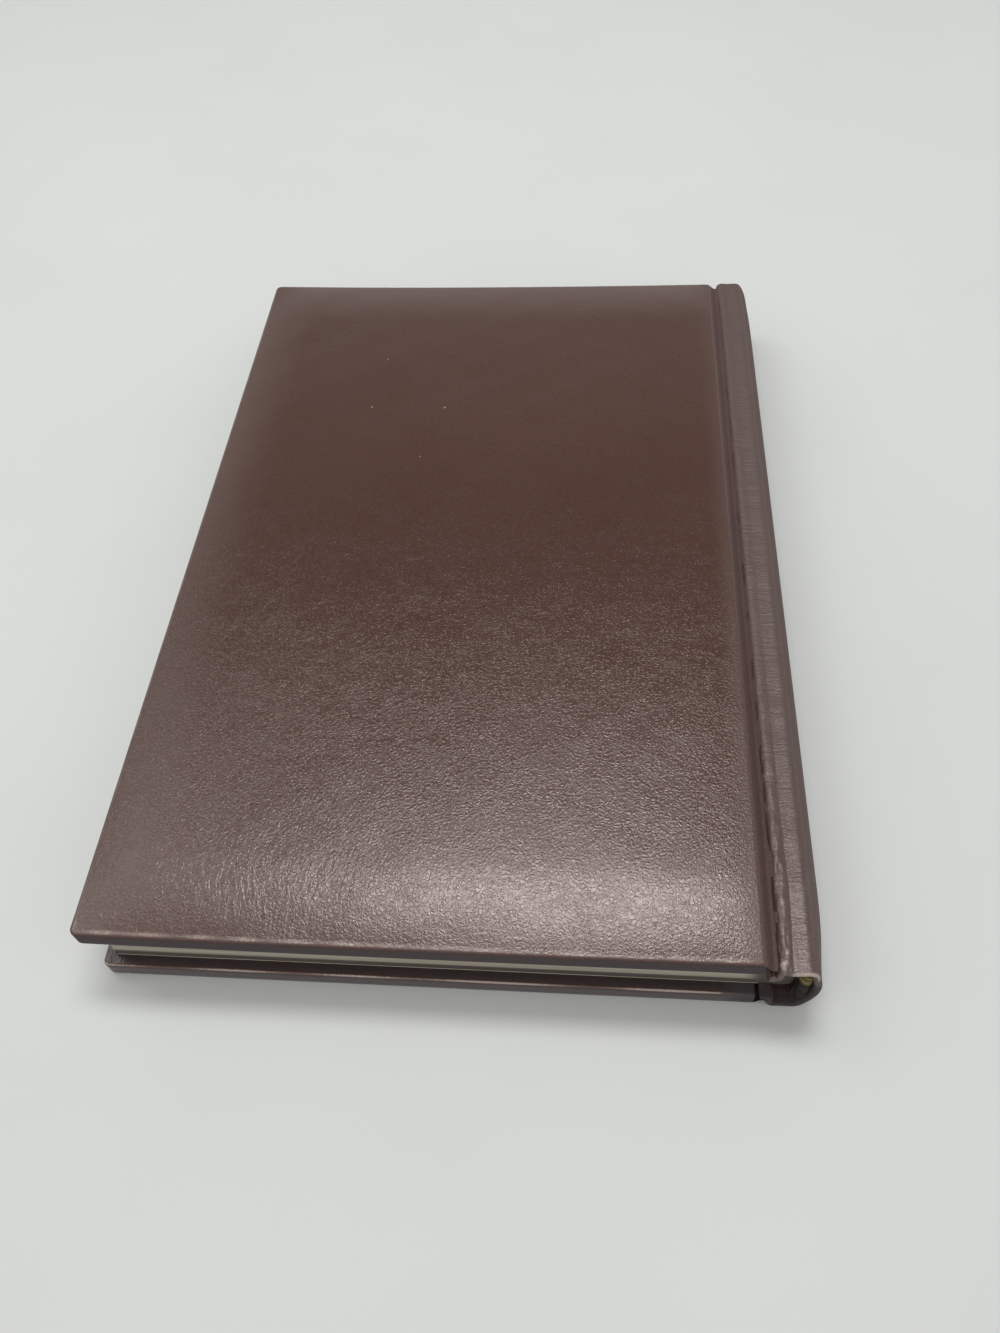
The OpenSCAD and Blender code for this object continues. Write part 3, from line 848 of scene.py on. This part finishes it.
# Leather in a joint groove: its upper face is grooveFace, and past the ridge it goes down inside
# it. It is thin where it leaves the cover and thick in the groove.
def jointStrip(name, groove, plan, paint, slot):
    edge, low, r = plan.high[0], plan.low[1], groove["endRound"]
    first, last = edge + groove["start"], edge + groove["crest"]
    lowEnd, highEnd = low + groove["endClear"], plan.high[1] - groove["endClear"]
    ends = gridLines(lowEnd, highEnd, groove["near"], groove["pitch"])
    x, y = np.meshgrid(np.linspace(first, last, groove["points"]), ends)
    inside = np.clip(np.minimum(y - low, plan.high[1] - y), 0, r)
    endDrop = (r - np.sqrt(r * r - (r - inside) ** 2)) * ramp(x - edge, 0, groove["easing"])
    top = grooveFace(groove, plan, x, y) + groove["lift"] - endDrop
    thick = groove["thin"] + (groove["thick"] - groove["thin"]) * ramp(x - first, 0, groove["thickAt"])
    legBottom = leafHigh[2] + leatherThickness + groove["legClear"]
    leg = np.linspace(0.25, 1, 5)[None]
    outerX, innerX = (np.full((len(y), 5), last + side) for side in (groove["legHalf"], -groove["legHalf"]))
    outerZ = top[:, -1:] - leg * (top[:, -1:] - legBottom)
    innerZ = np.minimum(outerZ[:, ::-1], (top - thick)[:, -1:] - 0.05)
    xs = np.concatenate([x, outerX, innerX, x[:, ::-1]], 1)
    zs = np.concatenate([top, outerZ, innerZ, (top - thick)[:, ::-1]], 1)
    ys = np.broadcast_to(y[:, :1], xs.shape)
    points = np.stack([xs, ys, zs], -1).reshape(-1, 3)
    index = np.arange(len(points)).reshape(xs.shape)
    half = index.shape[1] // 2
    caps = [gridFaces(np.stack([index[row, :half], index[row, half:][::-1]])) for row in (0, -1)]
    faces = np.concatenate([gridFaces(index, True), caps[0], caps[1][:, ::-1]])
    dull = ramp(xs - edge, *groove["dullAt"])
    # Painted light at the foot of the ridge and towards the tail, but painted shade at the lower one's tail
    # end
    palerFrom, palerTo, paler = groove["paler"]
    tailReach, tailPaler = groove["tailPaler"]
    wear = paler * ramp(xs - edge, palerFrom, palerTo) + tailPaler * np.exp(-(ys - low) / tailReach)
    if plan.flip:
        endShadeReach, paintedShade = groove["tailShade"]
        wear = wear - paintedShade * bell(ys - low, endShadeReach)
    return meshPiece(name, points, faces, paint, slot, plan.flip, dull=dull, wear=wear)


# The bend in a joint starts under the cover and ends at the ridge
for name, plan, cover, joint in (
        ("upperJointLeather", upperPlan, "upper_cover", frame["joints"][0]),
        ("lowerJointLeather", lowerPlan, "lower_cover", frame["joints"][1])):
    strip = jointStrip(name, grooveLook, plan, grooveLeatherLightened, "leather")
    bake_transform(strip)
print("joint leather laid")


endpaperLook = {
    "foldAt": 62.2,          # across the book
    "foldHalf": 0.15,        # how far from there the flat parts end
    "foldPoints": 24,
    "foldSwell": 0.03,
    "windowStep": 1.7,       # width of the step at the edge of the turn-ins
    "windowDepth": 0.55,
    "pitch": 4.0,
}


# Endpaper: a flyleaf, a fold and a pastedown, as one sheet along a path in x and z. The pastedown
# sinks into the window between the turn-ins by a smooth step in both directions.
def endpaperPiece(name, look, plan, leafBox, pasteBox, paint, slot):
    leafHeights, pasteHeights = ([corner[2] for corner in box] for box in (leafBox, pasteBox))
    if plan.flip:
        leafHeights = [plan.flip - z for z in leafHeights[::-1]]
        pasteHeights = [plan.flip - z for z in pasteHeights[::-1]]
    leafZ, pasteZ = sum(leafHeights) / 2, pasteHeights[0] + paperThickness / 2
    fold, high = look["foldAt"], plan.high[0]
    edge, frameEdge = plan.low[0] + plan.look["turnIn"], plan.high[1] - plan.look["turnIn"]
    leafX = gridLines(leafBox[0][0], fold - look["foldHalf"], [0, 0.5, 1.5], look["pitch"])
    rise = np.linspace(leafHeights[1], pasteHeights[0], look["foldPoints"])
    turn = np.linspace(0, 1, look["foldPoints"])
    # Points close together at the edges of the window
    pasteX = np.sort(np.concatenate([
        np.linspace(pasteBox[0][0], edge - 2, 5), np.linspace(edge - 1.5, edge + 1.5, 9),
        np.arange(edge + 4, high - 6, look["pitch"]), np.linspace(high - 5, high, 12),
        [fold - look["foldHalf"]]]))[::-1]
    xs = np.concatenate([leafX, fold + look["foldSwell"] * np.sin(math.pi * turn), pasteX])
    zs = np.concatenate([np.full(len(leafX), leafZ), rise, np.full(len(pasteX), pasteZ)])
    isPaste = np.concatenate([np.zeros(len(leafX)), turn, np.ones(len(pasteX))])
    reach = (leafBox[1][1] + (pasteBox[1][1] - leafBox[1][1]) * isPaste)[:, None]
    ys = np.concatenate([[-1, -0.995], np.linspace(-frameEdge - 1.6, -frameEdge + 1.6, 9) / pasteBox[1][1]])
    ys = np.concatenate([ys, np.linspace(ys[-1], -ys[-1], 44)[1:-1], -ys[::-1]])
    y = ys[None] * reach
    x = np.broadcast_to(xs[:, None], y.shape)

    def share(distance):
        t = np.clip(distance / look["windowStep"] + 0.5, 0, 1)
        return t * t * (3 - 2 * t)

    window = share(x - edge) * share(high - plan.look["jointTurnIn"] - x) * share(frameEdge - np.abs(y))
    onCover = (isPaste[:, None] == 1)
    z = zs[:, None] + onCover * (look["windowDepth"] * window + cupLift(plan, x, y))
    points = np.stack([x, y, z], -1).reshape(-1, 3)
    index = np.arange(len(points)).reshape(y.shape)
    piece = meshPiece(name, points, gridFaces(index), paint, slot, plan.flip)
    sheet = piece.modifiers.new("paper", "SOLIDIFY")
    sheet.thickness = paperThickness * mm
    sheet.offset = 0
    return piece


pasteBox, lowPasteBox = nodeBox("upper_pastedown"), nodeBox("lower_pastedown")
upperEndpaper = endpaperPiece(
    "upperEndpaper", endpaperLook, upperPlan, nodeBox("upper_flyleaf"), pasteBox, endpaperPaint, "endpaper")
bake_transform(upperEndpaper)
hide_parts("upper_flyleaf", "upper_pastedown")
lowerEndpaper = endpaperPiece(
    "lowerEndpaper", endpaperLook, lowerPlan, nodeBox("lower_flyleaf"), lowPasteBox, endpaperPaint,
    "endpaper")
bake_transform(lowerEndpaper)
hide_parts("lower_flyleaf", "lower_pastedown")
print("endpapers folded")


spineLook = {
    "grooveStart": 1.0,        # where the groove leather starts, from the edge of the cover
    "floor": 1.0,              # flat part of the groove floor
    "floorClear": 0.08,        # its height over the cover's inside
    "lip": (0.4, 0.2),         # width and height of its turned-up edge
    "ridgeAt": 3.55,           # middle of the ridge, from the edge of the cover
    "ridgeRadius": 1.45,
    "shoulderRadius": 3.2,
    "shoulderLift": 0.14,      # slight swelling along it
    "sideRadius": 16.0,
    "smoothing": 0.38,
    "step": 0.22,              # spacing of points across the spine
    "pitch": 0.9,              # and along it
    "near": [0, 0.5, 1.2, 2.2, 3.6],
    "ridgeHeight": 0.1,
    "ridgeWidth": 0.95,
    "ridgeWander": 0.22,
    "hollow": 0.26,            # dip of the flat behind the ridge, at the tail
    "hollowAt": (1.9, 0.55, 2.3),  # place behind the ridge, width before it and beyond it
    "creaseAt": (1.6, 0.3),    # place and width of the crease between them
    "creaseDepth": 0.2,
    "shoulderAt": (5.2, 1.5),  # place and width of the swelling
    "crumple": 0.5,            # height of the crumpled ridge at the tail
    "crumpleReach": 27.0,
    "crumpleWidth": 1.5,       # width of the ridge that gets the crumpled material
    "wrinkle": (0.03, 0.05),   # heights of fine and of broad wrinkles across the spine
    "wrinkleAt": (2.4, 4.0),   # place and width of the stretch that has them
    "farShare": 0.55,          # share of the relief that the lower side has
    "farShift": 31.7,          # how far that relief is moved along, so that the sides differ
    "tailCorner": 0.55,        # how much squarer the shoulder is at the tail
    "cornerAt": (-2.6, -1.4),  # its place from the side and from the top
    "cornerWidth": 1.6,
    "tailLean": 0.8,           # how much shorter the lower side is at the tail
    "leanReach": 30.0,
    "tailTaper": 1.1,          # how far the tail end is drawn in
    "headTaper": 0.4,
    "taperReach": 9.0,
    "taperAcross": (3, 9),     # where it starts, from the edge of the cover, and its width
    "foldThickness": 1.5,
    "turnIn": 10.0,
    "seam": blockHigh[0],      # where the part over the pages meets the part behind them
    "crownBottom": 15.2,       # height that pressed() aims the top of each stretch at
    "raisedWear": 0.7,
    # The next two give a painted highlight on upward faces towards the tail
    "tailHighlight": 0.26,
    "tailHighlightReach": 35.0,
    "rawAt": ((15, 17), (65.5, 67)),  # heights, and places across, between which the raw edge begins
    "glint": 1.7,              # painted highlight along the fold's foot at the tail
    "glintAt": (1.6, 0.9),     # its height and width
    "glintAcross": (70, 68),   # places across between which it begins
    "paintedShadeAt": (15, 12),      # heights between which the tail end gets painted shade
    "endShadeReach": 2.6,
    "flankFrom": (0.55, 0.3),  # slope from which the side is flank, and over which it gets so
    # painted shade on the side flank
    "flankShade": 0.15,
    "flankDullness": 0.5,
    "headDullness": 0.35,
    "headDullnessReach": 60.0,
    "endDullness": 1.3,        # of the end at the tail that gets painted shade
}


def arcPoints(centre, radius, start, end, count):
    angle = np.radians(np.linspace(start, end, count))
    return np.stack([centre[0] + radius * np.cos(angle), centre[1] + radius * np.sin(angle)], -1)


# Outer line of the spine leather in x and z, from the upper groove round to the lower one:
# floor, ridge, flat, shoulder and side as a line and arcs, evenly resampled and then smoothed
# with a bell-shaped window
def spineLine(look):
    right, top = spineHigh[0], coverTop
    floorHeight = leafHigh[2] + leatherThickness + look["floorClear"]
    start = coverHigh[0] + look["grooveStart"]
    lipWidth, lipHeight = look["lip"]
    ridgeCentre = (coverHigh[0] + look["ridgeAt"], top - look["ridgeRadius"])
    reach = look["sideRadius"] - look["shoulderRadius"]
    rise = top - bookMiddle - look["shoulderRadius"]
    shoulder = (right - look["sideRadius"] + math.sqrt(reach ** 2 - rise ** 2), bookMiddle + rise)
    bend = math.degrees(math.atan2(rise, shoulder[0] - right + look["sideRadius"]))
    upper = np.concatenate([
        [[start, floorHeight + lipHeight], [start + lipWidth, floorHeight]],
        [[start + look["floor"], floorHeight]],
        arcPoints(ridgeCentre, look["ridgeRadius"], 172, 90, 9),
        arcPoints(shoulder, look["shoulderRadius"], 90, bend, 12),
        arcPoints((right - look["sideRadius"], bookMiddle), look["sideRadius"], bend, 0, 12)])
    line = np.concatenate([upper, (upper * [1, -1] + [0, flipSum])[-2::-1]])
    length = np.concatenate([[0], np.cumsum(np.linalg.norm(np.diff(line, axis=0), axis=1))])
    count = 2 * int(length[-1] / look["step"] / 2) + 1
    even = np.linspace(0, length[-1], count)
    line = np.stack([np.interp(even, length, line[:, k]) for k in range(2)], -1)
    side = int(3 * look["smoothing"] / look["step"]) + 1
    window = np.exp(-0.5 * (np.arange(-side, side + 1) * look["step"] / look["smoothing"]) ** 2)
    padded = np.concatenate([2 * line[0] - line[side:0:-1], line, 2 * line[-1] - line[-2:-side - 2:-1]])
    return np.stack([np.convolve(padded[:, k], window / window.sum(), "valid") for k in range(2)], -1)


# Section along the spine of its leather, as places along and depths under the outer face: out
# along the outside, round the fold at the head, back inside past the turn-ins, round the tail
def spineSection(look, low, high):
    r = look["foldThickness"] / 2
    along = gridLines(low + r, high - r, look["near"], look["pitch"])
    turn = np.linspace(0, math.pi, 9)[1:-1]
    inside = np.where(
        np.minimum(along - low, high - along) < look["turnIn"], look["foldThickness"], leatherThickness)
    places = np.concatenate([along, high - r + r * np.sin(turn), along[::-1], low + r - r * np.sin(turn)])
    depths = np.concatenate([along * 0, r * (1 - np.cos(turn)), inside[::-1], r * (1 + np.cos(turn))])
    return places, depths, len(along), len(turn)


spine = spineLine(spineLook)
tangent = np.gradient(spine, axis=0)
tangent /= np.linalg.norm(tangent, axis=1, keepdims=True)
outward = np.stack([-tangent[:, 1], tangent[:, 0]], -1)
spineMiddle = len(spine) // 2


def spineAt(x):  # number of the point on top of the spine at a place across the book
    upper = spine[:spineMiddle]
    return int(np.argmin(np.abs(upper[:, 0] - x) + 100 * (upper[:, 1] < bookMiddle + 5)))


ridgeAt = spineAt(coverHigh[0] + spineLook["ridgeAt"])


# Relief of the spine leather: a raised ridge beside the groove, a crease and a hollow behind it,
# cross wrinkles, and a crumpled crest that grows towards the tail. Each is a bell across the spine.
def spineRelief(look, across, along):
    fromTail = np.exp(-(along - spineLow[1]) / look["crumpleReach"])
    fromRidge = across - look["ridgeWander"] * ripple(along, along * 0, 30, 21) * (0.3 + fromTail)
    crest = bell(fromRidge, look["ridgeWidth"])
    creaseAt, creaseWidth = look["creaseAt"]
    hollowAt, nearWidth, farWidth = look["hollowAt"]
    shoulderAt, shoulderWidth = look["shoulderAt"]
    wrinkleAt, wrinkleWidth = look["wrinkleAt"]
    crease = bell(fromRidge - creaseAt, creaseWidth)
    hollow = bell(across - hollowAt, np.where(across < hollowAt, nearWidth, farWidth))
    lump = ripple(along, across * 0.8, 4.2, 22) + 0.8 * ripple(along, across * 1.2, 1.9, 25)
    fine, broad = look["wrinkle"]
    wrinkle = ripple(along, across * 0.18, 3.0, 23) * fine + ripple(along, across * 0.3, 11, 24) * broad
    creaseShare = 0.04 + fromTail * (0.9 + 0.5 * ripple(along, along * 0, 15, 26))
    return (look["ridgeHeight"] * crest - look["hollow"] * (0.2 + 0.8 * fromTail) * hollow
            + look["shoulderLift"] * bell(across - shoulderAt, shoulderWidth)
            - look["creaseDepth"] * creaseShare * crease
            + look["crumple"] * fromTail * crest * (0.4 + 0.55 * lump)
            + wrinkle * bell(across - wrinkleAt, wrinkleWidth))


# One stretch of the spine leather, from point first to point last of its line: the line is
# carried along the section, moved out by the relief and in by the depth, with both cut edges closed
def spinePiece(name, look, first, last, paint, slot):
    places, depths, count, turns = spineSection(look, spineLow[1], spineHigh[1])
    numbers = np.arange(first, last + 1)
    lineX, lineZ = spine[numbers].T
    normalX, normalZ = outward[numbers].T
    fromRidge = (numbers - ridgeAt) * look["step"]
    fromFarRidge = (len(spine) - 1 - numbers - ridgeAt) * look["step"]
    along = np.broadcast_to(places[:, None], (len(places), len(numbers)))
    fromTail = along - spineLow[1]
    relief = (spineRelief(look, fromRidge[None], along)
              + spineRelief(look, fromFarRidge[None], along + look["farShift"]) * look["farShare"])
    tailShare, headShare = bell(fromTail, look["taperReach"]), bell(along - spineHigh[1], look["taperReach"])
    cornerX, cornerZ = spineHigh[0] + look["cornerAt"][0], coverTop + look["cornerAt"][1]
    corner = bell(lineX - cornerX, look["cornerWidth"]) * bell(lineZ - cornerZ, look["cornerWidth"])
    out = relief + look["tailCorner"] * tailShare * corner - depths[:, None]
    taper = look["tailTaper"] * tailShare + look["headTaper"] * headShare
    taperFrom, taperWidth = look["taperAcross"]
    x = lineX + normalX * out - taper * np.clip((lineX - coverHigh[0] - taperFrom) / taperWidth, 0, 1)
    z = np.maximum(lineZ + normalZ * out, 0)    # flat where it lies on the table
    lean = look["tailLean"] * (1 - z / coverTop) * np.exp(-fromTail / look["leanReach"])
    points = np.stack([x, along + lean, z], -1).reshape(-1, 3)
    index = np.arange(len(points)).reshape(along.shape)
    inner = count + turns + np.arange(count)[::-1]
    headFold = np.arange(count - 1, count + turns + 1)
    tailFold = np.append(np.arange(2 * count + turns - 1, len(places)), 0)
    faces = [gridFaces(np.concatenate([index, index[:1]]))]
    for column, order in ((0, [0, 3, 2, 1]), (-1, [0, 1, 2, 3])):
        faces.append(gridFaces(np.stack([index[:count, column], index[inner, column]], -1))[:, order])
        for fold in (headFold, tailFold):
            loop = index[fold, column]
            back, middle = loop[::-1], len(loop) // 2
            fan = np.stack([loop[:middle - 1], loop[1:middle], back[1:middle], back[:middle - 1]], -1)
            faces.append(fan[:, order])

    # Wear on raised leather; towards the tail a painted highlight on upward faces, a raw fold edge, painted
    # shade on the low end with a painted highlight along its foot, and painted shade on the side flank
    rows, foldStart = np.arange(len(places))[:, None], 2 * count + turns
    onFold = bell(rows - (foldStart + turns / 2 + 1), 1.3) * (rows >= foldStart)
    rawHeights, rawPlaces = look["rawAt"]
    glintHeight, glintWidth = look["glintAt"]
    flankSlope, flankEasing = look["flankFrom"]
    raw = ramp(z, *rawHeights) * ramp(x, *rawPlaces)
    glint = bell(z - glintHeight, glintWidth) * ramp(x, *look["glintAcross"])
    lowEnd = ramp(z, *look["paintedShadeAt"]) * bell(fromTail, look["endShadeReach"])
    flank = np.clip((normalX - flankSlope) / flankEasing, 0, 1)
    wear = (look["raisedWear"] * ramp(relief, 0.1, 1.1)
            + look["tailHighlight"] * np.exp(-fromTail / look["tailHighlightReach"]) * np.clip(normalZ, 0, 1)
            - lowEnd - look["flankShade"] * flank + (raw + look["glint"] * glint) * onFold)
    headDull = look["headDullness"] * (1 - np.exp(-fromTail / look["headDullnessReach"]))
    dull = np.maximum(look["endDullness"] * lowEnd, headDull + look["flankDullness"] * flank)
    crumple = np.exp(-fromTail / look["crumpleReach"]) * bell(fromRidge, look["crumpleWidth"])
    return meshPiece(name, points, np.concatenate(faces), paint, slot, wear=wear, crumple=crumple, dull=dull)


# A height to press a stretch towards, and the share of its height it would keep so that its top comes down
# to the crown's bottom; the pieces are not pressed here
def pressed(anchor):
    return anchor, (spineLook["crownBottom"] - anchor) / (coverTop - anchor)


seamAt, spineEnd = spineAt(spineLook["seam"]), len(spine) - 1
overPages, behindPages = pressed(leafHigh[2]), pressed(bookMiddle)
underPages = (flipSum - overPages[0], overPages[1])
for name, first, last, joint, (anchor, keep) in (
        ("upperGrooveLeather", 0, seamAt, "upper_cover_hinge", overPages),
        ("upperSpineLeather", seamAt, spineMiddle, "upper_cover_hinge", behindPages),
        ("lowerSpineLeather", spineMiddle, spineEnd - seamAt, "lower_cover_hinge", behindPages),
        ("lowerGrooveLeather", spineEnd - seamAt, spineEnd, "lower_cover_hinge", underPages)):
    piece = spinePiece(name, spineLook, first, last, spineLeatherPaint, "leather")
    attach(piece, "book_block")
    anchor * mm
    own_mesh(piece)
    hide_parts("spine_leather")
print("spine leather laid:", len(spine), "points across")


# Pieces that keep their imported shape

for node, paint in {
        "text_block": pagePaint, "headband": goldSilk, "tailband": goldSilk, "spine_gauze": mullPaint,
        "spine_lining": kraftPaint, "spine_strip": cardStrip, "sewing_thread": threadLinen,
        "lower_board": greyBoard, "lower_padding": wadding}.items():
    for place in frame["nodes"][node].material_slots:
        place.material = paint
print("kept pieces dressed")


# The stage

stageLook = {
    "floorShade": (201, 203, 201),
    "floorCloud": (190, 192, 190),
    "floorSize": 40000,
    "lamps": {                       # place, point aimed at, size, power
        "ceilingLamp": ((15, 190, 900), (-5, -70, 0), (560, 230), 3.95),
        "leftLamp": ((-480, 205, 740), (-60, -90, 0), (380, 380), 0.7),
    },
    # Height and brightness
    "headSky": [(0.0, 1.0), (0.5, 0.62), (0.62, 0.22), (0.74, 0.06), (0.86, 0.1), (1.0, 0.6)],
    "otherSky": [(0.0, 0.7), (0.4, 0.9), (1.0, 0.9)],
    "skyBlue": 0.985,
}


# Table top: a pale grey, softly clouded
def floorPaint(look):
    paint = newPaint("tableTop")
    cloud = paint.noise(0.012, 4.0, 0.6)
    colour = paint.blend(paint.step(cloud, 0.3, 0.8) * 0.25, look["floorShade"], look["floorCloud"])
    return paint.finish(colour, 0.55, None, Specular_IOR_Level=0.3)


def softLamp(name, place, aim, size, power):
    data = bpy.data.lights.new(name, "AREA")
    data.shape = "ELLIPSE"
    data.size, data.size_y = (side * mm for side in size)
    data.energy = power
    lamp = bpy.data.objects.new(name, data)
    lamp.location = Vector(place) * mm
    lamp.rotation_mode = "QUATERNION"
    lamp.rotation_quaternion = (Vector(aim) - Vector(place)).to_track_quat("-Z", "Y")
    scene.collection.objects.link(lamp)


# World: brightness by height above the horizon, with a darker stretch half way up on the head
# side, except to the left
def paintWorld(look):
    paint = Paint(bpy.data.worlds.new("studio"))
    scene.world = paint.owner
    direction = paint.node("TexCoord", {}, {}, "Generated")
    across, ahead, height = paint.split(direction)
    levels = []
    for key in ("otherSky", "headSky"):
        stops = [(position, (level, level, level * look["skyBlue"], 1)) for position, level in look[key]]
        levels.append(paint.node("ValToRGB", {"stops": stops}, {0: height}))
    sky = paint.blend(paint.step(ahead, -0.15, 0.3) * paint.step(across, -0.6, -0.3), *levels)
    paint.node("OutputWorld", {}, {"Surface": paint.node("Background", {}, {"Color": sky})}, None)


edge = stageLook["floorSize"] / 2
floorCorners = [(-edge, -edge, 0), (edge, -edge, 0), (edge, edge, 0), (-edge, edge, 0)]
floor = meshPiece("tableTop", floorCorners, [(0, 1, 2, 3)], floorPaint(stageLook), "board")
for name, lampLook in stageLook["lamps"].items():
    softLamp(name, *lampLook)
paintWorld(stageLook)
print("stage set")
